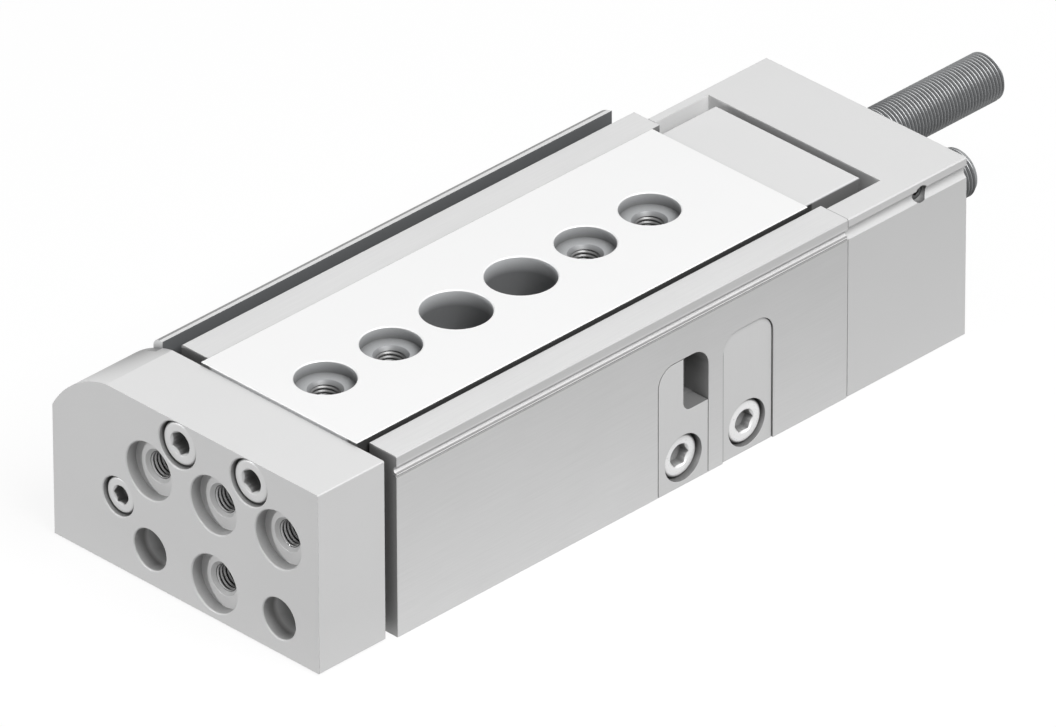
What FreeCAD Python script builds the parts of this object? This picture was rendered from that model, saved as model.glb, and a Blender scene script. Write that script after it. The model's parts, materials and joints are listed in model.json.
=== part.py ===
import FreeCAD, Part
import math
import os

os.makedirs("parts", exist_ok=True)

# Pneumatic mini slide. Millimetres, +Z up, and the table advances towards -Y.
# The origin is midway between the two base mounting holes, on the base face.
# X = 0 is the line of holes along the table; +X is to the right seen from the yoke.

# Hole grid shared by the table, the yoke and the base
hole_pitch = 10.0
centring_diameter = 7.0
centring_depth = 1.5
thread_core_diameter = 3.3
thread_lead_in = 0.4
base_thread_depth = 9.0
base_outer_spacing = 40.0
rim_chamfer = 0.12

# Slide table: a steel block with a wider ground top and a lower tail behind it
table_shortfall = 0.1
table_first_hole = 7.1
table_side_gap = 0.43
table_stand = 0.45
flange_thickness = 2.75
block_side_gap = 1.33
block_clearance = 0.4
tail_length = 9.15
tail_drop = 0.55
tail_edge_radius = 0.25
access_diameter = 8.2
table_edge = 0.12

# Yoke plate at the front
yoke_thickness = 10.0
yoke_gap = 1.5
yoke_right_inset = 0.37
yoke_left_stand = 0.1
yoke_lift = 0.25
yoke_top_extra = -0.05
yoke_corner_radius = 12.2
yoke_corner_run = 8.54
yoke_corner_drop = 6.18
yoke_hole_drop = 8.26
pin_hole_diameter = 5.0
yoke_screw_offset = 5.5
yoke_screw_drop = 3.02
yoke_edge = 0.12

# Housing extrusion
housing_height = 22.95
housing_half_width = 16.57
shoulder_ledge = 8.33
shoulder_drop = 7.35
shoulder_radius = 4.0
channel_wall = 4.14
channel_depth = 7.55
body_edge = 0.15
side_groove_drop = 1.8
side_groove_radius = 0.45
score_drop = 2.53
score_radius = 0.14
base_counterbore_diameter = 7.6
base_counterbore_depth = 5.0
base_through_diameter = 4.4
sensor_slot_radius = 1.9
sensor_slot_opening = 2.6
sensor_slot_inset = 2.5
sensor_slot_height = 3.6

# Ball guide
ball_diameter = 3.0
ball_count = 8
ball_space = 0.7
ball_gap = 0.03
ball_meridians = 12
ball_bands = 6
rail_thickness = 2.2
rail_height = 3.8
rail_inset = 0.5
cage_thickness = 0.9
cage_margin = 0.4
cage_gap = 0.3
cage_end = 2.55
cage_travel_gap = 0.4
pocket_clearance = 0.05
groove_rear_land = 5.35

# Cylinder beside the guide
stroke = 40.0
cylinder_inset = 10.0
cylinder_cover = 6.32
bore_diameter = 10.0
rod_diameter = 4.0
fit_clearance = 0.03
piston_clearance = 0.1
seal_clearance = 0.05
bearing_length = 10.5
bearing_flange = 1.0
ring_thickness = 1.0
ring_inset = 0.5
ring_bite = 0.4
ring_bore_diameter = 6.6
seal_width = 1.4
rod_seal_diameter = 7.0
piston_end_land = 1.6
piston_inner_land = 0.5
piston_seal_depth = 1.1
magnet_width = 2.0
magnet_depth = 1.6
buffer_thickness = 1.5
buffer_inset = 0.8
buffer_stand = 0.1
end_play = 1.5
spigot_length = 4.2
cap_seal_section = 1.65

# Air ports on the left flank
port_diameter = 4.2
port_mouth_diameter = 5.2
port_depth = 4.0
port_passage = 1.5
front_port_setback = 1.2
rear_port_setback = 6.8

# End cap
cap_wall = 10.3
cap_left_wall = 1.23
cap_lift = 0.1
cap_top_drop = 0.05
cap_seam_width = 0.12
cap_seam_depth = 0.1
recess_wall = 3.33
tail_gap = 1.05
cap_groove_depth = 0.45
cap_groove_half_height = 0.78
cap_groove_drop = 1.82
cross_hole_diameter = 2.1
cross_hole_land = 3.1
cross_hole_drop = 1.67
cross_hole_overrun = 4.0
cap_screw_length = 22.0
cap_screw_inset = 4.37
cap_screw_wall = 4.9
cap_screw_cover = 5.0
cap_screw_rows = 6.5

# Stops for the retracted end, screwed through the end cap
stop_diameter = 6.0
long_stop_x = -0.56
short_stop_inset = 4.85
cross_hole_rise = 0.83
long_stop_stand = 21.26
short_stop_stand = 4.03
stop_tip_diameter = 2.9
stop_tip_seat = 4.0
stop_rest_gap = 0.05
stop_hex = 2.5
stop_hex_depth = 2.5
stop_edge = 0.45
stop_fit = 0.05
clamp_screw_gap = 0.27
clamp_screw_depth = 0.5
clamp_pin_play = 0.05

# Side plates let into the right flank
plate_width = 7.9
plate_cover = 0.35
plate_corner_radius = 2.4
plate_thickness = 2.6
plate_first = 13.45
plate_pitch = 10.15
plate_seam = 0.1
rear_plate_sink = 0.2
plate_screw_height = 3.53
plate_screw_sink = 0.55
plate_pocket_play = 0.2
window_height = 6.85
window_corner_radius = 1.2
sensor_pocket_wall = 0.44

# Guard strip carried by the yoke along the left flank
guard_gap = 1.4
guard_thickness = 1.45
guard_top_drop = 0.1
guard_shortfall = 0.3
guard_seat = 1.0
guard_rise = 0.4
guard_edge_radius = 1.0
guard_slant = 0.8
foot_height = 3.2
foot_width = 3.8
foot_rise = 0.4

# Socket screws: thread, head, hexagon
screw_play = 0.02
head_play = 0.14
m3_diameter = 3.0
m3_head_diameter = 5.4
m3_head_height = 3.0
m3_low_head_height = 1.7
m3_hex = 2.5
m25_diameter = 2.5
m25_head_diameter = 4.5
m25_head_height = 2.5
m25_hex = 2.0
m2_diameter = 2.0
m2_head_diameter = 3.5
m2_head_height = 1.4
m2_hex = 1.5
yoke_screw_length = 12.0
rod_screw_length = 12.0
plate_screw_length = 6.0
guard_screw_length = 5.0
screw_sink = 0.45
hex_share = 0.55
head_edge = 0.25

# Places along the slide, worked out from the sizes above
table_front = -(2.5 * hole_pitch + table_first_hole)
yoke_front = table_front - yoke_thickness
housing_front = table_front + yoke_gap
bearing_front = housing_front + ring_inset + ring_thickness
bearing_rear = bearing_front + bearing_length
piston_nose = bearing_rear + stroke + buffer_stand
piston_front = piston_nose + buffer_thickness
magnet_start = piston_front + piston_end_land + seal_width + piston_inner_land
rear_seal_start = magnet_start + magnet_width + piston_inner_land
piston_rear = rear_seal_start + seal_width + piston_end_land
spigot_front = piston_rear + buffer_thickness + end_play
housing_rear = spigot_front + spigot_length
table_length = housing_rear - housing_front - table_shortfall
table_rear = table_front + table_length
block_rear = table_rear + tail_length
recess_rear = block_rear + tail_gap
cap_rear = recess_rear + cap_wall
guard_rear = table_rear - guard_shortfall
front_port_y = bearing_rear + front_port_setback
rear_port_y = housing_rear + rear_port_setback
cross_hole_y = recess_rear + cross_hole_land
groove_rear = block_rear - groove_rear_land

# Heights worked out from the sizes above
table_top = housing_height + table_stand
block_top = table_top - tail_drop
channel_floor = housing_height - channel_depth
block_bottom = channel_floor + block_clearance
flange_bottom = table_top - flange_thickness
shoulder_height = housing_height - shoulder_drop
yoke_top = housing_height + yoke_top_extra
yoke_hole_height = yoke_top - yoke_hole_drop
yoke_screw_height = yoke_top - yoke_screw_drop
cap_top = housing_height - cap_top_drop
cross_hole_height = cap_top - cross_hole_drop
stop_height = cross_hole_height - cross_hole_rise - stop_diameter / 2
side_groove_height = housing_height - side_groove_drop
score_height = housing_height - score_drop
cap_groove_height = cap_top - cap_groove_drop
cylinder_z = shoulder_height - cylinder_cover
guard_top = table_top - guard_top_drop
guard_bottom = shoulder_height + guard_rise
foot_bottom = shoulder_height + foot_rise

# Widths worked out from the sizes above
channel_half_width = housing_half_width - channel_wall
table_half_width = channel_half_width - table_side_gap
block_half_width = channel_half_width - block_side_gap
shoulder_left = housing_half_width + shoulder_ledge
yoke_right = housing_half_width - yoke_right_inset
yoke_left = shoulder_left + yoke_left_stand
recess_half_width = housing_half_width - recess_wall
cap_left = recess_half_width + cap_left_wall
cylinder_x = cylinder_inset - shoulder_left
short_stop_x = housing_half_width - short_stop_inset
guard_inner = housing_half_width + guard_gap
guard_outer = guard_inner + guard_thickness
sensor_pocket_depth = channel_wall - sensor_pocket_wall

# Ball guide, worked out from the sizes above
ball_radius = ball_diameter / 2
ball_pitch = ball_diameter + ball_space
cage_height = ball_diameter + 2 * cage_margin
ball_height = flange_bottom - cage_gap - cage_height / 2
ball_x = (block_half_width + channel_half_width) / 2
groove_reach = ball_radius * math.sqrt(2) + ball_gap
cage_length = (ball_count - 1) * ball_pitch + 2 * cage_end
cage_front = housing_front + stroke / 2 + cage_travel_gap
cage_middle = cage_front + cage_length / 2
plate_top = ball_height - rail_height / 2 - plate_cover
window_bottom = plate_top - window_height

# Clamp for the stops: the pin's scallops and the screw's inner end follow the short stop
clamp_pin_diameter = cross_hole_diameter - 2 * clamp_pin_play
stop_bore_radius = stop_diameter / 2 + stop_fit
cross_hole_bottom_rise = cross_hole_height - stop_height - cross_hole_diameter / 2
short_stop_half_chord = math.sqrt(stop_bore_radius ** 2 - cross_hole_bottom_rise ** 2)
clamp_screw_inner_x = short_stop_x + short_stop_half_chord + clamp_screw_gap
clamp_screw_outer_x = housing_half_width - cap_groove_depth - clamp_screw_depth
cross_hole_end = long_stop_x - cross_hole_overrun

# Rows and groups of holes
thread_mouth_diameter = thread_core_diameter + 2 * thread_lead_in
plate_centres = [plate_first, plate_first + plate_pitch]
screw_seat = m3_head_height + screw_sink
rod_screw_seat = m25_head_height + screw_sink
cap_screw_right = housing_half_width - cap_screw_inset
cap_screw_left = cylinder_x + bore_diameter / 2 + cap_screw_wall
cap_screw_high = channel_floor - cap_screw_cover
cap_screw_low = cap_screw_high - cap_screw_rows
cap_screw_places = [
    (x, z) for x in (cap_screw_left, cap_screw_right) for z in (cap_screw_low, cap_screw_high)
]
yoke_thread_places = [
    (-hole_pitch, yoke_hole_height),
    (0.0, yoke_hole_height),
    (hole_pitch, yoke_hole_height),
    (0.0, yoke_hole_height - hole_pitch),
]
table_thread_places = [-2.5 * hole_pitch, -1.5 * hole_pitch, 1.5 * hole_pitch, 2.5 * hole_pitch]
access_places = [-0.5 * hole_pitch, 0.5 * hole_pitch]
overcut = 1.0

along_x = FreeCAD.Vector(1, 0, 0)
along_y = FreeCAD.Vector(0, 1, 0)
along_z = FreeCAD.Vector(0, 0, 1)


# Plain shapes

def block(x0, x1, y0, y1, z0, z1):
    corner = FreeCAD.Vector(x0, y0, z0)
    return Part.makeBox(x1 - x0, y1 - y0, z1 - z0, corner)


def bar_x(diameter, x0, x1, y, z):
    start = FreeCAD.Vector(x0, y, z)
    return Part.makeCylinder(diameter / 2, x1 - x0, start, along_x)


def bar_y(diameter, y0, y1, x, z):
    start = FreeCAD.Vector(x, y0, z)
    return Part.makeCylinder(diameter / 2, y1 - y0, start, along_y)


def bar_z(diameter, z0, z1, x, y):
    start = FreeCAD.Vector(x, y, z0)
    return Part.makeCylinder(diameter / 2, z1 - z0, start, along_z)


def cone_y(wide, narrow, wide_y, narrow_y, x, z):
    start = FreeCAD.Vector(x, wide_y, z)
    direction = along_y if narrow_y > wide_y else along_y.negative()
    return Part.makeCone(wide / 2, narrow / 2, abs(narrow_y - wide_y), start, direction)


def cone_z(wide, narrow, wide_z, narrow_z, x, y):
    start = FreeCAD.Vector(x, y, wide_z)
    direction = along_z if narrow_z > wide_z else along_z.negative()
    return Part.makeCone(wide / 2, narrow / 2, abs(narrow_z - wide_z), start, direction)


def prism_y(points, y0, y1):
    corners = [FreeCAD.Vector(x, y0, z) for x, z in points]
    wire = Part.makePolygon(corners + corners[:1])
    return Part.Face(wire).extrude(along_y * (y1 - y0))


def hexagon_y(across_flats, y0, y1, x, z):
    reach = across_flats / math.sqrt(3)
    angles = [math.radians(60 * step) for step in range(6)]
    return prism_y([(x + reach * math.sin(a), z + reach * math.cos(a)) for a in angles], y0, y1)


def export(name, shape):
    solid_count = len(shape.Solids)
    if solid_count == 1:
        shape = shape.Solids[0]
    shape.exportStep("parts/" + name + ".step")


# Socket screws, built along +Y with the head's underside at the origin and the shank ahead of it

def socket_screw(diameter, head_diameter, head_height, hexagon, length):
    shank = bar_y(diameter, 0, length, 0, 0)
    head = bar_y(head_diameter, head_edge - head_height, 0, 0, 0)
    rim = cone_y(head_diameter, head_diameter - 2 * head_edge, head_edge - head_height, -head_height, 0, 0)
    socket_floor = -head_height * (1 - hex_share)
    socket = hexagon_y(hexagon, -head_height - overcut, socket_floor, 0, 0)
    return head.fuse([shank, rim]).cut(socket).removeSplitter()


def placed(shape, x, y, z, turn_axis=None, degrees=0.0):
    moved = shape.copy()
    if turn_axis is not None:
        moved.rotate(FreeCAD.Vector(0, 0, 0), turn_axis, degrees)
    moved.translate(FreeCAD.Vector(x, y, z))
    return moved


# Profile shared by the housing and the end cap: a deep lower part that holds the
# cylinder on the left, and a narrower upper part that holds the guide.

def body_profile(upper_left, bottom, top, y0, y1):
    corner = shoulder_left - shoulder_radius
    turn = shoulder_radius * (1 - math.sqrt(0.5))
    points = [
        (housing_half_width, bottom),
        (housing_half_width, top - body_edge),
        (housing_half_width - body_edge, top),
        (-upper_left + body_edge, top),
        (-upper_left, top - body_edge),
        (-upper_left, shoulder_height),
        (-corner, shoulder_height),
    ]
    vectors = [FreeCAD.Vector(x, y0, z) for x, z in points]
    edges = [Part.LineSegment(a, b).toShape() for a, b in zip(vectors, vectors[1:])]
    arc_start = vectors[-1]
    arc_middle = FreeCAD.Vector(-shoulder_left + turn, y0, shoulder_height - turn)
    arc_end = FreeCAD.Vector(-shoulder_left, y0, shoulder_height - shoulder_radius)
    foot = FreeCAD.Vector(-shoulder_left, y0, bottom)
    edges.append(Part.Arc(arc_start, arc_middle, arc_end).toShape())
    edges.append(Part.LineSegment(arc_end, foot).toShape())
    edges.append(Part.LineSegment(foot, vectors[0]).toShape())
    return Part.Face(Part.Wire(edges)).extrude(along_y * (y1 - y0))


def rim_z(diameter, x, y, face, into):
    wide = diameter + 2 * rim_chamfer
    return cone_z(wide, diameter, face, face + into * rim_chamfer, x, y)


def rim_y(diameter, x, z, face):
    wide = diameter + 2 * rim_chamfer
    return cone_y(wide, diameter, face, face + rim_chamfer, x, z)


def centring_hole_z(x, y, face, into, depth):
    reach = face + into * centring_depth
    wide = bar_z(centring_diameter, min(face, reach), max(face, reach), x, y)
    mouth = cone_z(thread_mouth_diameter, thread_core_diameter, reach, reach + into * thread_lead_in, x, y)
    end = face + into * depth
    core = bar_z(thread_core_diameter, min(face, end), max(face, end), x, y)
    return wide.fuse([mouth, core, rim_z(centring_diameter, x, y, face, into)])


def guide_groove(vertex_x, open_x, y0, y1):
    side = 1 if open_x > vertex_x else -1
    spread = abs(open_x - vertex_x) + overcut
    edge_x = vertex_x + side * spread
    points = [(vertex_x, ball_height), (edge_x, ball_height - spread), (edge_x, ball_height + spread)]
    return prism_y(points, y0, y1)


# Moving group: table, yoke, guard, rod and piston

def make_slide_table():
    body = block(-block_half_width, block_half_width, table_front, block_rear, block_bottom, block_top)
    tail_edges = [
        edge for edge in body.Edges
        if abs(edge.BoundBox.ZMin - block_top) < 1e-6 and edge.BoundBox.YMax > table_rear
    ]
    body = body.makeFillet(tail_edge_radius, tail_edges)
    flange = block(-table_half_width, table_half_width, table_front, table_rear, flange_bottom, table_top)
    rim = [edge for edge in flange.Edges if abs(edge.BoundBox.ZMin - table_top) < 1e-6]
    flange = flange.makeChamfer(table_edge, rim)
    table = body.fuse(flange)
    vertex = ball_x - groove_reach
    cuts = []
    for side in (-1, 1):
        cuts.append(guide_groove(side * vertex, side * block_half_width, table_front - overcut, groove_rear))
        hole_end = table_front + yoke_screw_length + screw_seat - yoke_thickness + overcut
        screw_hole_diameter = m3_diameter + 2 * screw_play
        hole_x = side * yoke_screw_offset
        cuts.append(bar_y(screw_hole_diameter, table_front - overcut, hole_end, hole_x, yoke_screw_height))
    for y in table_thread_places:
        cuts.append(centring_hole_z(0, y, table_top, -1, table_top - block_bottom + overcut))
    for y in access_places:
        cuts.append(bar_z(access_diameter, block_bottom - overcut, table_top + overcut, 0, y))
        cuts.append(rim_z(access_diameter, 0, y, table_top, -1))
    return table.cut(cuts).removeSplitter()


def yoke_outline():
    bottom = yoke_lift
    corner_start = yoke_corner_run - yoke_left
    corner_z = yoke_top - yoke_corner_drop
    chord = math.hypot(yoke_corner_run, yoke_corner_drop)
    bulge = yoke_corner_radius - math.sqrt(yoke_corner_radius ** 2 - chord ** 2 / 4)
    middle_x = (corner_start - yoke_left) / 2 - bulge * yoke_corner_drop / chord
    middle_z = (yoke_top + corner_z) / 2 + bulge * yoke_corner_run / chord
    right_bottom = FreeCAD.Vector(yoke_right, yoke_front, bottom)
    right_top = FreeCAD.Vector(yoke_right, yoke_front, yoke_top)
    arc_start = FreeCAD.Vector(corner_start, yoke_front, yoke_top)
    arc_middle = FreeCAD.Vector(middle_x, yoke_front, middle_z)
    arc_end = FreeCAD.Vector(-yoke_left, yoke_front, corner_z)
    left_bottom = FreeCAD.Vector(-yoke_left, yoke_front, bottom)
    edges = [
        Part.LineSegment(right_bottom, right_top).toShape(),
        Part.LineSegment(right_top, arc_start).toShape(),
        Part.Arc(arc_start, arc_middle, arc_end).toShape(),
        Part.LineSegment(arc_end, left_bottom).toShape(),
        Part.LineSegment(left_bottom, right_bottom).toShape(),
    ]
    return Part.Face(Part.Wire(edges))


def centring_hole_y(x, z):
    face = yoke_front
    wide = bar_y(centring_diameter, face - overcut, face + centring_depth, x, z)
    mouth_start = face + centring_depth
    mouth_end = mouth_start + thread_lead_in
    mouth = cone_y(thread_mouth_diameter, thread_core_diameter, mouth_start, mouth_end, x, z)
    core = bar_y(thread_core_diameter, face, table_front + overcut, x, z)
    return wide.fuse([mouth, core, rim_y(centring_diameter, x, z, face)])


def screw_seat_y(diameter, head_diameter, depth, x, z):
    pocket_diameter = head_diameter + 2 * head_play
    pocket = bar_y(pocket_diameter, yoke_front - overcut, yoke_front + depth, x, z)
    hole = bar_y(diameter + 2 * screw_play, yoke_front, table_front + overcut, x, z)
    return pocket.fuse([hole, rim_y(pocket_diameter, x, z, yoke_front)])


def make_yoke_plate():
    plate = yoke_outline().extrude(along_y * yoke_thickness)
    upright = [
        edge for edge in plate.Edges
        if abs(edge.BoundBox.XMin - yoke_right) < 1e-6 and edge.BoundBox.YLength > yoke_thickness / 2
    ]
    plate = plate.makeChamfer(yoke_edge, upright)
    cuts = [centring_hole_y(x, z) for x, z in yoke_thread_places]
    for side in (-1, 1):
        pin_z = yoke_hole_height - hole_pitch
        x = side * hole_pitch
        cuts.append(bar_y(pin_hole_diameter, yoke_front - overcut, table_front + overcut, x, pin_z))
        cuts.append(rim_y(pin_hole_diameter, x, pin_z, yoke_front))
        screw_x = side * yoke_screw_offset
        cuts.append(screw_seat_y(m3_diameter, m3_head_diameter, screw_seat, screw_x, yoke_screw_height))
    cuts.append(screw_seat_y(m25_diameter, m25_head_diameter, rod_screw_seat, cylinder_x, cylinder_z))
    slot_front = table_front - guard_seat
    behind = table_front + overcut
    cuts.append(block(-guard_outer, -guard_inner, slot_front, behind, guard_bottom, yoke_top + overcut))
    hole_front = table_front - guard_screw_length
    hole_diameter = m2_diameter + 2 * screw_play
    cuts.append(bar_y(hole_diameter, hole_front, behind, foot_screw_x(), foot_screw_z()))
    return plate.cut(cuts).removeSplitter()


def make_yoke_screws():
    screw = socket_screw(m3_diameter, m3_head_diameter, m3_head_height, m3_hex, yoke_screw_length)
    seat_y = yoke_front + screw_seat
    places = [side * yoke_screw_offset for side in (-1, 1)]
    return Part.makeCompound([placed(screw, x, seat_y, yoke_screw_height) for x in places])


def make_rod_screw():
    screw = socket_screw(m25_diameter, m25_head_diameter, m25_head_height, m25_hex, rod_screw_length)
    return placed(screw, cylinder_x, yoke_front + rod_screw_seat, cylinder_z)


def foot_screw_x():
    return -(guard_outer + foot_width / 2)


def foot_screw_z():
    return foot_bottom + foot_height / 2


def guard_tongue():
    """The front end of the strip, which lies in the yoke's slot and follows the yoke's outline."""
    tongue = block(-guard_outer, -guard_inner, table_front - guard_seat, table_front, guard_bottom, guard_top)
    return tongue.common(yoke_outline().extrude(along_y * yoke_thickness))


def make_side_guard():
    strip = block(-guard_outer, -guard_inner, table_front, guard_rear, guard_bottom, guard_top)
    outer_edge = [
        edge for edge in strip.Edges
        if abs(edge.BoundBox.XMax + guard_outer) < 1e-6 and abs(edge.BoundBox.ZMin - guard_top) < 1e-6
    ]
    strip = strip.makeFillet(guard_edge_radius, outer_edge)
    slant = guard_slant_cut(guard_rear)
    foot_front = table_front
    foot_back = table_front + guard_thickness
    foot_left = -(guard_outer + foot_width)
    foot = block(foot_left, -guard_outer, foot_front, foot_back, foot_bottom, foot_bottom + foot_height)
    hole_diameter = m2_diameter + 2 * screw_play
    hole = bar_y(hole_diameter, foot_front - overcut, foot_back + overcut, foot_screw_x(), foot_screw_z())
    return strip.cut(slant).fuse([guard_tongue(), foot]).cut(hole).removeSplitter()


def guard_slant_cut(rear):
    low = guard_bottom - overcut
    left = -guard_outer
    right = -guard_inner
    corners = [
        FreeCAD.Vector(left, rear - guard_slant, low),
        FreeCAD.Vector(right, rear, low),
        FreeCAD.Vector(right, rear + overcut, low),
        FreeCAD.Vector(left - overcut, rear + overcut, low),
        FreeCAD.Vector(left - overcut, rear - guard_slant, low),
    ]
    wire = Part.makePolygon(corners + corners[:1])
    return Part.Face(wire).extrude(along_z * (guard_top - low + overcut))


def make_guard_screw():
    screw = socket_screw(m2_diameter, m2_head_diameter, m2_head_height, m2_hex, guard_screw_length)
    seat_y = table_front + guard_thickness
    return placed(screw, foot_screw_x(), seat_y, foot_screw_z(), along_z, 180.0)


def make_piston_rod():
    rod = bar_y(rod_diameter, table_front, piston_rear, cylinder_x, cylinder_z)
    screw_end = yoke_front + rod_screw_seat + rod_screw_length + overcut
    hole_diameter = m25_diameter + 2 * screw_play
    return rod.cut(bar_y(hole_diameter, table_front - overcut, screw_end, cylinder_x, cylinder_z))


def ring_y(outer, inner, y0, y1):
    outside = bar_y(outer, y0, y1, cylinder_x, cylinder_z)
    return outside.cut(bar_y(inner, y0 - overcut, y1 + overcut, cylinder_x, cylinder_z))


def piston_seal_starts():
    return [piston_front + piston_end_land, rear_seal_start]


def piston_outer():
    return bore_diameter - 2 * piston_clearance


def make_piston():
    outer = piston_outer()
    body = ring_y(outer, rod_diameter, piston_front, piston_rear)
    grooves = []
    for start in piston_seal_starts():
        grooves.append(ring_y(outer + overcut, outer - 2 * piston_seal_depth, start, start + seal_width))
    magnet_end = magnet_start + magnet_width
    grooves.append(ring_y(outer + overcut, outer - 2 * magnet_depth, magnet_start, magnet_end))
    return body.cut(grooves)


def make_piston_seals():
    outer = bore_diameter - 2 * seal_clearance
    inner = piston_outer() - 2 * piston_seal_depth
    return Part.makeCompound([ring_y(outer, inner, y, y + seal_width) for y in piston_seal_starts()])


def make_piston_magnet():
    outer = piston_outer() - piston_clearance
    inner = piston_outer() - 2 * magnet_depth
    return ring_y(outer, inner, magnet_start, magnet_start + magnet_width)


def make_piston_buffers():
    outer = bore_diameter - 2 * buffer_inset
    front = ring_y(outer, rod_diameter, piston_nose, piston_front)
    rear = bar_y(outer, piston_rear, piston_rear + buffer_thickness, cylinder_x, cylinder_z)
    return Part.makeCompound([front, rear])


# Fixed group: housing, guide rails, cylinder ends and end cap

def plate_shape(centre_y, seam, depth):
    half = plate_width / 2 - seam
    top = plate_top - seam
    face_x = housing_half_width
    slab = block(face_x - depth, face_x, centre_y - half, centre_y + half, 0, top)
    corners = [
        edge for edge in slab.Edges
        if edge.BoundBox.ZMin > top - 1e-6 and edge.BoundBox.XLength > depth / 2
    ]
    return slab.makeFillet(plate_corner_radius - seam, corners)


def window_block(depth, rear_y):
    face_x = housing_half_width
    start_y = plate_first
    window = block(face_x - depth, face_x + overcut, start_y, rear_y, window_bottom, plate_top + overcut)
    corner = [
        edge for edge in window.Edges
        if edge.BoundBox.YMax < start_y + 1e-6 and edge.BoundBox.ZMax < window_bottom + 1e-6
    ]
    return window.makeFillet(window_corner_radius, corner)


def plate_screw_seat():
    return housing_half_width - plate_screw_sink - m3_low_head_height


def make_side_plate(index):
    centre_y = plate_centres[index]
    plate = plate_shape(centre_y, plate_seam, plate_thickness)
    pocket_diameter = m3_head_diameter + 2 * plate_pocket_play
    hole_diameter = m3_diameter + 2 * screw_play
    seat_x = plate_screw_seat()
    outside = housing_half_width + overcut
    cuts = [
        bar_x(pocket_diameter, seat_x, outside, centre_y, plate_screw_height),
        bar_x(hole_diameter, seat_x - plate_thickness, outside, centre_y, plate_screw_height),
    ]
    if index == 0:
        cuts.append(window_block(plate_thickness + overcut, centre_y + plate_width))
    else:
        sunk_x = housing_half_width - rear_plate_sink
        front = centre_y - plate_width
        cuts.append(block(sunk_x, outside, front, centre_y + plate_width, -overcut, plate_top))
    return plate.cut(cuts).removeSplitter()


def make_plate_screws():
    screw = socket_screw(m3_diameter, m3_head_diameter, m3_low_head_height, m3_hex, plate_screw_length)
    seat_x = plate_screw_seat()
    return Part.makeCompound(
        [placed(screw, seat_x, y, plate_screw_height, along_z, 90.0) for y in plate_centres]
    )


def rail_block(y0, y1):
    outer = channel_half_width + rail_thickness
    low = ball_height - rail_height / 2
    high = ball_height + rail_height / 2
    return block(channel_half_width, outer, y0, y1, low, high)


def mirrored(shape, side):
    if side > 0:
        return shape
    return shape.mirror(FreeCAD.Vector(0, 0, 0), along_x)


def make_guide_rail(side):
    y0 = housing_front + rail_inset
    y1 = housing_rear - rail_inset
    vertex = ball_x + groove_reach
    groove = guide_groove(vertex, channel_half_width, y0 - overcut, y1 + overcut)
    return mirrored(rail_block(y0, y1).cut(groove), side)


def ball_places():
    first = cage_middle - (ball_count - 1) * ball_pitch / 2
    return [first + ball_pitch * step for step in range(ball_count)]


def make_ball_cage(side):
    x0 = ball_x - cage_thickness / 2
    x1 = ball_x + cage_thickness / 2
    low = ball_height - cage_height / 2
    strip = block(x0, x1, cage_front, cage_front + cage_length, low, low + cage_height)
    pocket = ball_diameter + 2 * pocket_clearance
    holes = [bar_x(pocket, x0 - overcut, x1 + overcut, y, ball_height) for y in ball_places()]
    return mirrored(strip.cut(holes), side)


# A ball has flat facets with their corners on the sphere, because there are many of them

def ball_ring(band):
    tilt = math.pi * band / ball_bands
    reach = ball_radius * math.sin(tilt)
    height = ball_radius * math.cos(tilt)
    turns = [2 * math.pi * step / ball_meridians for step in range(ball_meridians)]
    return [FreeCAD.Vector(reach * math.cos(a), reach * math.sin(a), height) for a in turns]


def facet(corners):
    return Part.Face(Part.makePolygon(corners + corners[:1]))


def make_ball():
    top = FreeCAD.Vector(0, 0, ball_radius)
    rings = [ball_ring(band) for band in range(1, ball_bands)]
    facets = []
    for a in range(ball_meridians):
        b = (a + 1) % ball_meridians
        facets.append(facet([top, rings[0][a], rings[0][b]]))
        facets.append(facet([top.negative(), rings[-1][b], rings[-1][a]]))
        for upper, lower in zip(rings, rings[1:]):
            facets.append(facet([upper[a], lower[a], lower[b], upper[b]]))
    return Part.Solid(Part.Shell(facets))


def make_balls(side):
    ball = make_ball()
    return Part.makeCompound([placed(ball, side * ball_x, y, ball_height) for y in ball_places()])


def base_hole_cuts():
    cuts = []
    for y in access_places:
        seat = channel_floor - base_counterbore_depth
        cuts.append(bar_z(base_counterbore_diameter, seat, channel_floor + overcut, 0, y))
        cuts.append(bar_z(base_through_diameter, 0, channel_floor, 0, y))
        cuts.append(bar_z(centring_diameter, -overcut, centring_depth, 0, y))
    for side in (-1, 1):
        cuts.append(centring_hole_z(0, side * base_outer_spacing / 2, 0, 1, base_thread_depth))
    return cuts


def port_cuts(y):
    face = -shoulder_left
    floor = face + port_depth
    mouth_run = (port_mouth_diameter - port_diameter) / 2
    start = FreeCAD.Vector(face, y, cylinder_z)
    mouth = Part.makeCone(port_mouth_diameter / 2, port_diameter / 2, mouth_run, start, along_x)
    hole = bar_x(port_diameter, face - overcut, floor, y, cylinder_z)
    return hole.fuse([mouth, bar_x(port_passage, floor, cylinder_x, y, cylinder_z)])


def sensor_slot_cut():
    x = -shoulder_left + sensor_slot_inset
    y0 = housing_front - overcut
    y1 = housing_rear + overcut
    half = sensor_slot_opening / 2
    throat = block(-shoulder_left - overcut, x, y0, y1, sensor_slot_height - half, sensor_slot_height + half)
    return bar_y(2 * sensor_slot_radius, y0, y1, x, sensor_slot_height).fuse(throat)


def cap_screw_reach():
    return cap_rear - screw_seat - cap_screw_length


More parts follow.
